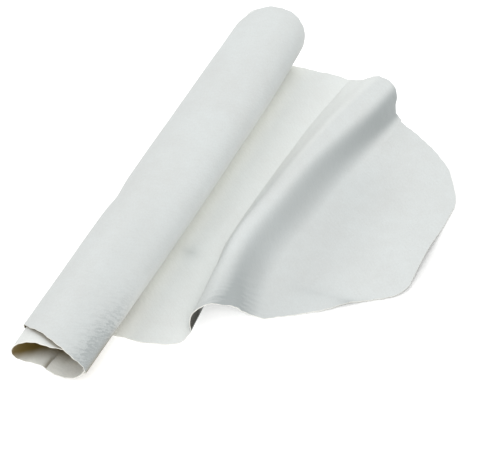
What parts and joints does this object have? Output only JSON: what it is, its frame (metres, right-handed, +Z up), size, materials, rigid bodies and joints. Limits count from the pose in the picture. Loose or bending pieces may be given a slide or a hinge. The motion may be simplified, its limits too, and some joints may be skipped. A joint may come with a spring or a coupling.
{
  "type": "chamois leather",
  "caption": "Off-white chamois leather for drying and polishing, partly rolled into a loose tube, with its free end laid out flat over a raised fold.",
  "frame": {"origin": "under the middle of the whole hide, on the surface that it lies on", "axes": "+Y along the roll, +X from the roll towards the flap's far end, +Z up"},
  "size_m": [0.3404, 0.612, 0.0864],
  "materials": {
    "leather_outside": "matt, softly napped",
    "leather_inside": "matt, softly napped"
  },
  "bodies": {
    "roll": {"outer_turn": "leather_outside", "inner_turn": "leather_inside", "strip_under_roll": "leather_outside"},
    "fold": {"near_flap": "leather_outside", "raised_fold": "leather_outside"},
    "far_end": {"far_flap": "leather_outside"}
  },
  "joints": [
    {"name": "flap_lift", "type": "hinge", "parent": "roll", "child": "fold", "pos_m": [-0.0708, 0, 0.0012], "axis": [0, -1, 0], "range_deg": [0, 62]},
    {"name": "far_end_lift", "type": "hinge", "parent": "fold", "child": "far_end", "pos_m": [0.0592, 0, 0.0012], "axis": [0, -1, 0], "range_deg": [0, 118]}
  ]
}
